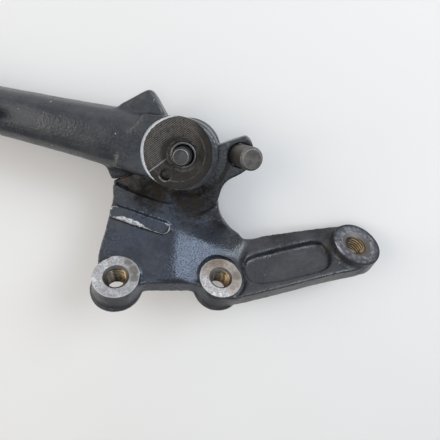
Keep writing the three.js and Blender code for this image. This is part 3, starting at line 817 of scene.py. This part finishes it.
def raised_pad(radius, bottom, top):
    """A block with round ends over the plate's long pad, between two heights above the plate."""
    (x0, y0), (x1, y1) = PAD_ENDS
    heading = math.atan2(y1 - y0, x1 - x0)
    outline = []
    steps = 12
    for (x, y), start in (((x1, y1), heading - math.pi / 2), ((x0, y0), heading + math.pi / 2)):
        for i in range(steps + 1):
            angle = start + math.pi * i / steps
            outline.append((x + radius * math.cos(angle), y + radius * math.sin(angle)))
    low = [at(x, y, plate_height(x, y) + bottom) for x, y in outline]
    high = [at(x, y, plate_height(x, y) + top) for x, y in outline]
    n = len(outline)
    walls = [[i, (i + 1) % n, n + (i + 1) % n, n + i] for i in range(n)]
    return mesh_object("pad", low + high, [list(range(n)), list(range(n, 2 * n)), *walls])


def near(points, centre, inner, outer):
    """1 within the inner distance of a point, falling to 0 at the outer one, in millimetres."""
    distance = np.linalg.norm(points - np.array(centre), axis=1) / MM
    return smoothstep(-distance, -outer, -inner)


def bracket_fillers():
    """Plugs that close the bracket's holes while it is remeshed, and the flanges of the lower bosses."""
    low, high = LUG
    fillers = [plug(BORE_R + 0.4, low, high), plug(SEAL_R + 0.3, high - 3, high + 1),
               plug(SEAL_R + 0.3, low - 1, low + 3)]
    for side in SIDES:
        fillers.append(plug(SINK[side][0] + 0.4, 0.6 - BOSS_HEIGHT[side], -0.2, boss_frame(side)))
        fillers.append(plug(BOSS_R[side], -3, 1.0, boss_frame(side)))
    for side in ("left", "middle"):
        radius = BOSS_R[side] + FLANGE["proud"]
        fillers.append(plug(radius, FLANGE["bottom"], FLANGE["top"], boss_frame(side)))
    return fillers


def bracket_cutters():
    """What is milled and drilled after forging: the lug, the faces of the bosses and the threads."""
    low, high = LUG
    cutters = [plug(SWEEP_R - 0.8, high, ABOVE), plug(SWEEP_R, -5, low), plug(BORE_R, 0, ABOVE),
               plug(SEAL_R, high - SEAL_DEPTH, ABOVE), plug(SEAL_R, 0, low + SEAL_DEPTH)]
    for side, clear in MILL_CLEAR.items():
        cutters.append(plug(BOSS_R[side] + clear, 0, MILL_TOP, boss_frame(side)))
    island = BOSS_R["middle"] - 0.1
    bank = BOSS_R["middle"] + MOAT["width"]
    bed = -MOAT["depth"]
    profile = [(0, 0), (island, 0), (island, bed), (bank, bed), (bank, MILL_TOP), (0, MILL_TOP)]
    cutters.append(turned("moat", profile, boss_frame("middle")))
    for side in SIDES:
        mouth, depth = SINK[side]
        bottom = -BOSS_HEIGHT[side] - THREAD_RUN
        cutters.append(tap(boss_frame(side), bottom, TAP_TOP, SCREW, mouth, depth))
    return cutters


def soften_bracket(piece):
    """The soft edges of the forging, softest where the photographed shapes flow into each other."""
    points = points_of(piece)
    pad_middle = at(*PAD_MIDDLE, plate_height(*PAD_MIDDLE))
    relax(piece, 9, 0.5 - 0.36 * near(points, pad_middle, 13, 17))

    x, y, z = in_frame(points, MOUNT).T
    beside_middle_boss = near(points, at_mount(13, 17, 2), 4, 8)
    under_neck = near(points, at(26.5, -42.5, 16), 6, 13)
    valley = smoothstep(y, 1, 5) * smoothstep(-y, -24, -18)
    valley *= smoothstep(-x, -13, -8) * smoothstep(x, -54, -48) * (z > -8)
    valley *= 1 - near(points, pad_middle, 12, 16)
    soft = np.maximum.reduce([beside_middle_boss, under_neck, 0.45 * valley])
    relax(piece, 130, 0.5 * soft)

    along = x * ARM_RUN[0] + y * ARM_RUN[1]
    across = y * ARM_RUN[0] - x * ARM_RUN[1]
    from_pocket = np.hypot(along - np.clip(along, *POCKET_SPAN), across)
    on_arm = abs(z + ARM_DROP - ARM_RISE * along) < 6
    relax(piece, 34, 0.45 * (1 - smoothstep(from_pocket, 10, 12)) * on_arm)
    return piece


def bracket_piece():
    """The bracket: the CAD forging with its photographed surfaces, soft edges and crisp milled faces."""
    piece = copy_of("bracket", "bracket_forging")
    boolean(piece, [facet_block(FACET, FACET_DEPTH)], "UNION")
    clear = [raised_pad(PAD_R + PAD_CLEAR, 0.02, 3), facet_block(FACET[CUT_FROM:], FACET_CLEAR)]
    boolean(piece, clear, "DIFFERENCE")
    boolean(piece, [*bracket_fillers(), raised_pad(PAD_R, -1, PAD_PROUD)], "UNION")
    soften_bracket(remesh(piece, 0.5))
    roughen(piece, 0.10, 7.0, 3.0)
    boolean(piece, bracket_cutters(), "DIFFERENCE")
    return cut_floor(piece)


def cut_floor(piece):
    """Nothing reaches below the plane that the stand lies on."""
    points = points_of(piece)
    points[:, 2] = np.maximum(points[:, 2], 0)
    set_points(piece, points)
    return piece


def bracket_faces(piece, materials):
    """Paint everywhere, bare metal on the milled faces and threads."""
    centres, normals = faces_of(piece)
    index = np.zeros(len(centres))
    facing = normals @ np.array(BOSS_AXIS)
    for number, side in enumerate(SIDES):
        x, y, height = in_frame(centres, boss_frame(side)).T
        radius = np.hypot(x, y)
        face = (facing > 0.98) & (abs(height) < 0.08) & (radius < BOSS_R[side] + 0.6)
        hole = (radius < SINK[side][0] + 0.05) & (height < -0.01) & (height > -BOSS_HEIGHT[side] - 2)
        index[face] = 1 + number
        index[hole] = 1 + len(SIDES) + number
    paint_faces(piece, materials, index)


# ---- leg


def leg_piece():
    """The leg: the CAD forging with soft edges, a flat on the fork and a crisp milled seat."""
    piece = copy_of("leg", "leg_forging")
    low, high = EAR_GAP
    fillers = [plug(SHANK_HOLE_R + 0.2, REAR_Z, low, segments=64),
               plug(SHANK_HOLE_R + 0.2, high, SEAT, segments=64),
               plug(PEG_R + 0.4, high + 1, SEAT, x=PEG_X, y=PEG_Y, segments=48),
               plug(SEAT_R + 0.1, 31, RIM_Z, x=SEAT_X, y=SEAT_Y)]
    boolean(piece, fillers, "UNION")
    remesh(piece, 0.6)
    relax(piece, 8)
    points = points_of(piece) / MM
    from_flat = np.hypot(points[:, 0] - FLAT_X, points[:, 1] - FLAT_Y) - FLAT_R
    relax(piece, 24, 0.4 * smoothstep(from_flat, 1.5, 6))
    roughen(piece, 0.10, 9.0, 5.0)
    peg_mouth = PEG_R + 0.7
    peg_hole = [(0, SEAT - PEG_DEPTH), (PEG_R, SEAT - PEG_DEPTH), (PEG_R, SEAT - 0.5),
                (peg_mouth, SEAT + 0.2), (peg_mouth, ABOVE), (0, ABOVE)]
    cutters = [plug(WEB_R, low, high),
               plug(SEAT_R, SEAT, ABOVE, x=SEAT_X, y=SEAT_Y),
               turned("peg", peg_hole, Matrix.Translation(at(PEG_X, PEG_Y)), 48),
               tap(Matrix.Identity(4), 25, SEAT + TAP_TOP, BOLT_SCREW, *BOLT_SINK, SEAT),
               plug(SHANK_HOLE_R, 0, 15)]
    boolean(piece, cutters, "DIFFERENCE")
    return cut_floor(piece)


def leg_faces(piece, materials):
    """Paint everywhere but on the seat, its wall, the locating hole and the bolt's thread."""
    centres, normals = faces_of(piece)
    x, y, z = (centres / MM).T
    index = np.zeros(len(centres))
    from_seat = np.hypot(x - SEAT_X, y - SEAT_Y)
    in_peg_hole = np.hypot(x - PEG_X, y - PEG_Y) < PEG_R + 0.8
    in_bolt_hole = np.hypot(x, y) < BOLT_SINK[0] + 0.1
    under_seat = z < SEAT - 0.02
    index[(normals[:, 2] > 0.98) & (abs(z - SEAT) < 0.1) & (from_seat < SEAT_R + 0.3)] = 1
    index[(abs(from_seat - SEAT_R) < 0.15) & (z > SEAT) & (abs(normals[:, 2]) < 0.5)] = 2
    index[in_peg_hole & under_seat & (z > 26)] = 3
    index[in_bolt_hole & under_seat & (z > 25)] = 3
    paint_faces(piece, materials, index)


# ---- turned pieces and fittings


def spring_pin_frame():
    """Frame along the leaning spring pin, its origin at the pin's lower end."""
    points = np.array([v.co for v in frame["nodes"]["spring_hook_pin"].data.vertices])
    centre = points.mean(0)
    axis = np.linalg.svd(points - centre, full_matrices=False)[2][0]
    axis = Vector(axis if axis[2] > 0 else -axis)
    heights = (points - centre) @ np.array(axis)
    return frame_at(Vector(centre) + axis * heights.min(), axis, (1, 0, 0)), float(np.ptp(heights)) / MM


def rounded(profile, radius):
    """An open profile of (radius, height) with its corners rounded, apart from its two ends."""
    steps = 4
    out = [profile[0]]
    for before, here, after in zip(profile, profile[1:], profile[2:]):
        b, h, a = Vector(before), Vector(here), Vector(after)
        trim = min(radius, (b - h).length * 0.45, (a - h).length * 0.45)
        start, end = h + (b - h).normalized() * trim, h + (a - h).normalized() * trim
        for i in range(steps + 1):
            t = i / steps
            out.append(tuple(start * (1 - t) ** 2 + h * 2 * t * (1 - t) + end * t * t))
    return out + [profile[-1]]


def rounded_ring(ring, radius):
    """A closed profile with every corner rounded."""
    around = [ring[-2], *ring[:-1], ring[0]]
    body = rounded(around, radius)[1:-1]
    return body + [body[0]]


def hook_pin():
    """The leaning spring pin of the bracket, with a chamfered end."""
    place, length = spring_pin_frame()
    profile = [(0, 0), (4.4, 0), (5, 0.6), (5, length - 0.9), (4.1, length), (0, length)]
    return turned("hook_pin_turned", rounded(profile, 0.25), place, 128)


def leg_pin():
    """The spring pin of the leg, with a groove and a head."""
    low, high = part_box("leg_spring_pin")
    middle = (low + high) / 2
    top = (high.z - low.z) / MM
    place = Matrix.Translation((middle.x, middle.y, low.z))
    profile = [(0, 0), (5, 0), (5, top - 6.4), (4.1, top - 5.6), (4.1, top - 3.4), (6.6, top - 2.6),
               (6.6, top - 0.8), (5.8, top), (0, top)]
    return turned("leg_pin_turned", rounded(profile, 0.5), place, 128)


def bolt():
    """The pivot bolt: hex head, shank, thread end with a groove, and the tip that carries the switch."""
    profile = [(0, 5.2), (6.4, 5.2), (6.4, 24.5), (5.9, 25), (5.9, 31.9), (5.4, 32.5), (4.8, 32.5),
               (4.0, 30.5), (4.0, 30.9), (4.0, 39.0), (3.2, 40.0), (0, 40.0)]
    shank = turned("pivot_bolt_turned", rounded(profile, 0.2), None, 128)
    corner = HEAD["flats"] / 2 / math.cos(math.pi / 6)
    top = HEAD["height"]
    head = plug(corner, 0, top, segments=6)
    crown = [(0, 0), (corner - 1.5, 0), (corner + 0.2, 1.1), (corner + 0.2, top - 0.6), (corner - 0.4, top),
             (0, top)]
    boolean(head, [turned("crown", crown)], "INTERSECT")
    return boolean(shank, [head], "UNION")


def measure(node):
    """Bottom, top and outer radius of a node about the pivot's axis, in millimetres."""
    low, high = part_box(node)
    return low.z / MM, high.z / MM, high.x / MM


def washer():
    """The washer under the bolt's head."""
    bottom, top, outer = measure("bolt_washer")
    inner = SHANK_HOLE_R
    ring = [(inner, bottom), (outer, bottom), (outer, top), (inner, top), (inner, bottom)]
    return turned("washer_turned", rounded_ring(ring, 0.25), None, 128)


def bush_piece(node, name):
    """A flanged bush, its flange at the end of the lug that it is pressed into."""
    bottom, top, rim = measure(node)
    length = top - bottom
    inner, outer, under = BUSH["inner"], BUSH["outer"], length - BUSH["flange"]
    ring = [(inner, 0), (outer, 0), (outer, under), (rim, under), (rim, length), (inner, length), (inner, 0)]
    front = bottom + top > sum(LUG)
    place = Matrix.Translation(at(0, 0, bottom if front else top))
    if not front:
        place = place @ Matrix.Rotation(math.pi, 4, "X")
    return turned(name, rounded_ring(ring, 0.2), place, 96)


def seal_piece(node, name):
    """A sealing ring of round section."""
    bottom, top, rim = measure(node)
    wire = (top - bottom) / 2
    middle = (top + bottom) / 2
    centre = rim - wire
    angles = [2 * math.pi * i / 20 for i in range(20)]
    ring = [(centre + wire * math.cos(a), middle + wire * math.sin(a)) for a in angles]
    return turned(name, ring + [ring[0]], None, 96)


def softened(node, name, voxel, rounds, lumps, size, seed):
    """A forged or welded fitting: the CAD shape with rounded edges and an uneven skin."""
    piece = remesh(copy_of(node, name), voxel)
    relax(piece, rounds)
    return roughen(piece, lumps, size, seed)


def weld_ripples(piece, node, axis, count, height):
    """Ripples round a weld bead."""
    low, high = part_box(node)
    place = frame_at((low + high) / 2, axis, (0.3, 1, 0.2))
    points = points_of(piece)
    x, y, _ = in_frame(points, place).T
    turn = np.arctan2(y, x)
    wave = np.abs(np.sin(turn * count / 2)) - 0.6
    set_points(piece, points + normals_of(piece) * (wave * height * MM)[:, None])
    return piece


# ---- assembly


def bracket_paint():
    """The bracket's enamel with the dirt, rust and bare spots of the photo; the grease on the lug under the
    leg's ear also paints shade there.
    """
    soil = [(at(-14, -19, 26), 9, 0.6, 0.7, 1.0), (at(2, -25, 25), 10, 0.6, 0.8, 0.9),
            (at(-26, -14, 25), 8, 0.6, 0.7, 0.9), (at_mount(58, 12, 9), 7, 0.7, 0.8, 0.55),
            (at_mount(34, 8, 2), 11, 0.7, 0.9, 0.35)]
    rust = [(at(-29, -11, 25), 3.0, 0.6, 0.7, 0.7), (at_mount(-13.0, 4.0, -2), 2.4, 0.8, 0.6, 0.8)]
    bare = [(at_mount(7.0, -12.0, -3.0), 1.4, 0.9, 0.5, 0.7)]
    # Grease patches; the first two, on the lug under the leg's ear, are also painted shade there.
    grease_and_shade = [(at(3, -20, 26), 17, 0.5, 0.7, 1.0), (at(-17, -18, 26), 13, 0.5, 0.7, 1.0),
              (at(14, -32, 22), 9, 0.6, 0.8, 0.7), (at_mount(34, 20, 7), 13, 0.5, 0.8, 0.6),
              (at_mount(54, 23, 11), 13, 0.5, 0.8, 0.6)]
    return painted("bracket_enamel", 0.18, 0.25, 0.4, soil, rust, bare, grease_and_shade, True)


def boss_metals():
    """The milled faces of the left, middle and right boss."""
    left_stains = [(at_boss("left", 8.0, 3.5), 3.4, (0.13, 0.11, 0.08), 0.8),
                   (at_boss("left", 8.2, -0.5), 2.8, (0.12, 0.105, 0.08), 0.75),
                   (at_boss("left", 5.0, 7.6), 2.6, (0.15, 0.125, 0.10), 0.8)]
    middle_stains = [(at_boss("middle", -1, 8.5), 5.0, (0.19, 0.125, 0.075), 0.6),
                     (at_boss("middle", 8, 1.0), 3.2, (0.14, 0.11, 0.085), 0.6)]
    right_stains = [(at_boss("right", 0, 0), 10.2, (0.33, 0.33, 0.345), 0.55)]
    return [
        machined_boss("left", (0.60, 0.57, 0.56), 0.0, (-0.8, 0.6), left_stains),
        machined_boss("middle", (0.52, 0.44, 0.375), 2.0, (-0.62, -0.78), middle_stains),
        machined_boss("right", (0.135, 0.13, 0.142), 9.3, (-0.95, -0.2), right_stains, (2.0, BLACK, 0.9)),
    ]


def place_bracket():
    """The finished bracket."""
    faces = boss_metals()
    threads = [screw_thread(side) for side in SIDES]
    bracket = bracket_piece()
    mark_edges(bracket)
    bracket_faces(bracket, [bracket_paint(), *faces, *threads])
    place_piece(bracket, "bracket_body", "bracket")


def place_leg():
    """The finished leg."""
    leg = leg_piece()
    mark_edges(leg)
    bare = plain_steel("leg_machined", CHIP, (0.34, 0.33, 0.32), 0.28)
    threads = thread_metal("bolt_threads", (0.30, 0.28, 0.26), (0.10, 0.09, 0.08), 0.8)
    paint = painted("leg_enamel", 0.22, 0.9)
    leg_faces(leg, [paint, seat_metal("switch_seat_milled"), bare, threads])
    place_piece(leg, "leg_body", "leg")


def turned_pieces():
    """Pins, bolt, washer, bushes and seals, each with its body, node, slot and material."""
    pin = plain_steel("hook_pin_steel", (0.19, 0.176, 0.165), (0.12, 0.107, 0.095), 0.55, 0.8)
    zinc = plain_steel("bolt_steel_dull", (0.115, 0.11, 0.105), (0.065, 0.06, 0.056), 0.36, 0.2)
    pieces = [
        (hook_pin(), "bracket_body", "spring_hook_pin", "worn_steel", pin),
        (leg_pin(), "leg_body", "leg_spring_pin", "worn_steel", pin),
        (bolt(), "leg_body", "pivot_bolt", "bolt_steel", zinc),
        (washer(), "leg_body", "bolt_washer", "bolt_steel", zinc),
    ]
    bronze = bronze_metal()
    for node, name in (("pivot_bush_front", "bush_front_turned"), ("pivot_bush_rear", "bush_rear_turned")):
        pieces.append((bush_piece(node, name), "bracket_body", node, "bush_bronze", bronze))
    rubber = seal_rubber()
    for node, name in (("dust_seal_front", "seal_front_ring"), ("dust_seal_rear", "seal_rear_ring")):
        pieces.append((seal_piece(node, name), "bracket_body", node, "seal_rubber", rubber))
    return pieces


def leg_fittings():
    """The foot plate, the tang and their weld beads, each with its body, node, slot and material."""
    paint = painted("foot_enamel", 0.35, 0.8)
    plate = softened("foot_plate", "foot_plate_pressed", 0.7, 6, 0.06, 9.0, 2.0)
    foot_bead = softened("foot_weld", "foot_weld_bead", 0.45, 6, 0.05, 2.0, 7.0)
    weld_ripples(foot_bead, "foot_weld", mounts["foot_sole"]["axis"], 34, 0.35)
    tang = softened("foot_tang", "foot_tang_forged", 0.5, 8, 0.05, 5.0, 4.0)
    tang_bead = softened("tang_weld", "tang_weld_bead", 0.4, 5, 0.05, 2.0, 6.0)
    weld_ripples(tang_bead, "tang_weld", (0, 0, 1), 22, 0.3)
    pieces = {"foot_plate": plate, "foot_weld": foot_bead, "foot_tang": tang, "tang_weld": tang_bead}
    return [(piece, "leg_body", node, "black_paint", paint) for node, piece in pieces.items()]


def place_small_pieces():
    """Everything but the bracket and the leg."""
    for piece, body, node, slot, material in turned_pieces() + leg_fittings():
        cut_floor(piece)
        if piece.data.polygons[0].use_smooth:
            mark_edges(piece)
        else:
            mark_corners(piece)
        piece.data.materials.clear()
        piece.data.materials.append(material)
        place_piece(piece, body, node)


# ---- stage


def floor():
    """The pale surface that the stand lies on."""
    s = Shader("pale_floor")
    cloud = s.noise(180.0, 3.0, 0.5)
    colour = s.mix(cloud, (0.87, 0.83, 0.79), (0.94, 0.90, 0.86))
    s.finish(colour=colour, roughness=0.7, normal=s.relief(s.noise(0.8, 2.0, 0.5), 0.01))
    half = 4.0
    corners = [(-half, -half, 0), (half, -half, 0), (half, half, 0), (-half, half, 0)]
    plane = mesh_object("floor", corners, [[0, 1, 2, 3]])
    plane.data.materials.append(s.material)


def world_light():
    """Soft daylight: dim overhead, bright low down on the far side."""
    world = bpy.data.worlds.new("daylight")
    bpy.context.scene.world = world
    world.use_nodes = True
    tree = world.node_tree
    background = tree.nodes["Background"]
    direction = tree.nodes.new("ShaderNodeTexCoord").outputs["Generated"]
    dot = tree.nodes.new("ShaderNodeVectorMath")
    dot.operation = "DOT_PRODUCT"
    dot.inputs[1].default_value = Vector((0.25, 0.93, 0.26)).normalized()
    tree.links.new(direction, dot.inputs[0])
    ramp = tree.nodes.new("ShaderNodeValToRGB")
    tree.links.new(dot.outputs["Value"], ramp.inputs["Fac"])
    stops = ramp.color_ramp.elements
    stops[0].position = 0.3
    stops[0].color = (0.45, 0.45, 0.45, 1)
    stops[1].position = 1.0
    stops[1].color = (1.15, 1.2, 1.3, 1)
    tree.links.new(ramp.outputs["Color"], background.inputs["Color"])
    background.inputs["Strength"].default_value = 0.74


def soft_light(name, position, target, size, power, colour):
    """A rectangular lamp that faces a target."""
    data = bpy.data.lights.new(name, "AREA")
    data.shape = "RECTANGLE"
    data.size, data.size_y = size
    data.energy = power
    data.color = colour
    lamp = link(name, data)
    lamp.location = position
    lamp.rotation_mode = "QUATERNION"
    lamp.rotation_quaternion = (Vector(target) - Vector(position)).to_track_quat("-Z", "Y")


def camera():
    """The photo's camera, above the stand and tipped towards the lower bosses."""
    data = bpy.data.cameras.new("camera")
    data.sensor_width = 36.0
    data.lens = 27.818
    data.clip_start = 0.01
    data.clip_end = 30.0
    view = link("camera", data)
    position = (0.020564, 0.016109, 0.179638)
    back = Vector((0.0309, 0.2925, 0.9558)).normalized()
    up = Vector((-0.009, 0.956, -0.292))
    right = up.cross(back).normalized()
    up = back.cross(right)
    turn = Matrix((right, up, back)).transposed().to_4x4()
    view.matrix_world = Matrix.Translation(position) @ turn
    bpy.context.scene.camera = view


camera()
floor()
world_light()
soft_light("window", (0.82, 0.575, 0.72), (0, -0.05, 0.02), (0.6, 0.5), 8.5, (0.76, 0.88, 1.0))
soft_light("ceiling", (0.06, -0.05, 1.0), (-0.03, -0.04, 0), (0.3, 0.3), 0.9, (0.72, 0.85, 1.0))
soft_light("fill", (-0.9, 0.2, 0.7), (0, 0, 0), (0.9, 0.9), 5.5, (1.0, 0.96, 0.89))
bpy.context.scene.view_settings.view_transform = "Standard"
place_bracket()
place_leg()
place_small_pieces()
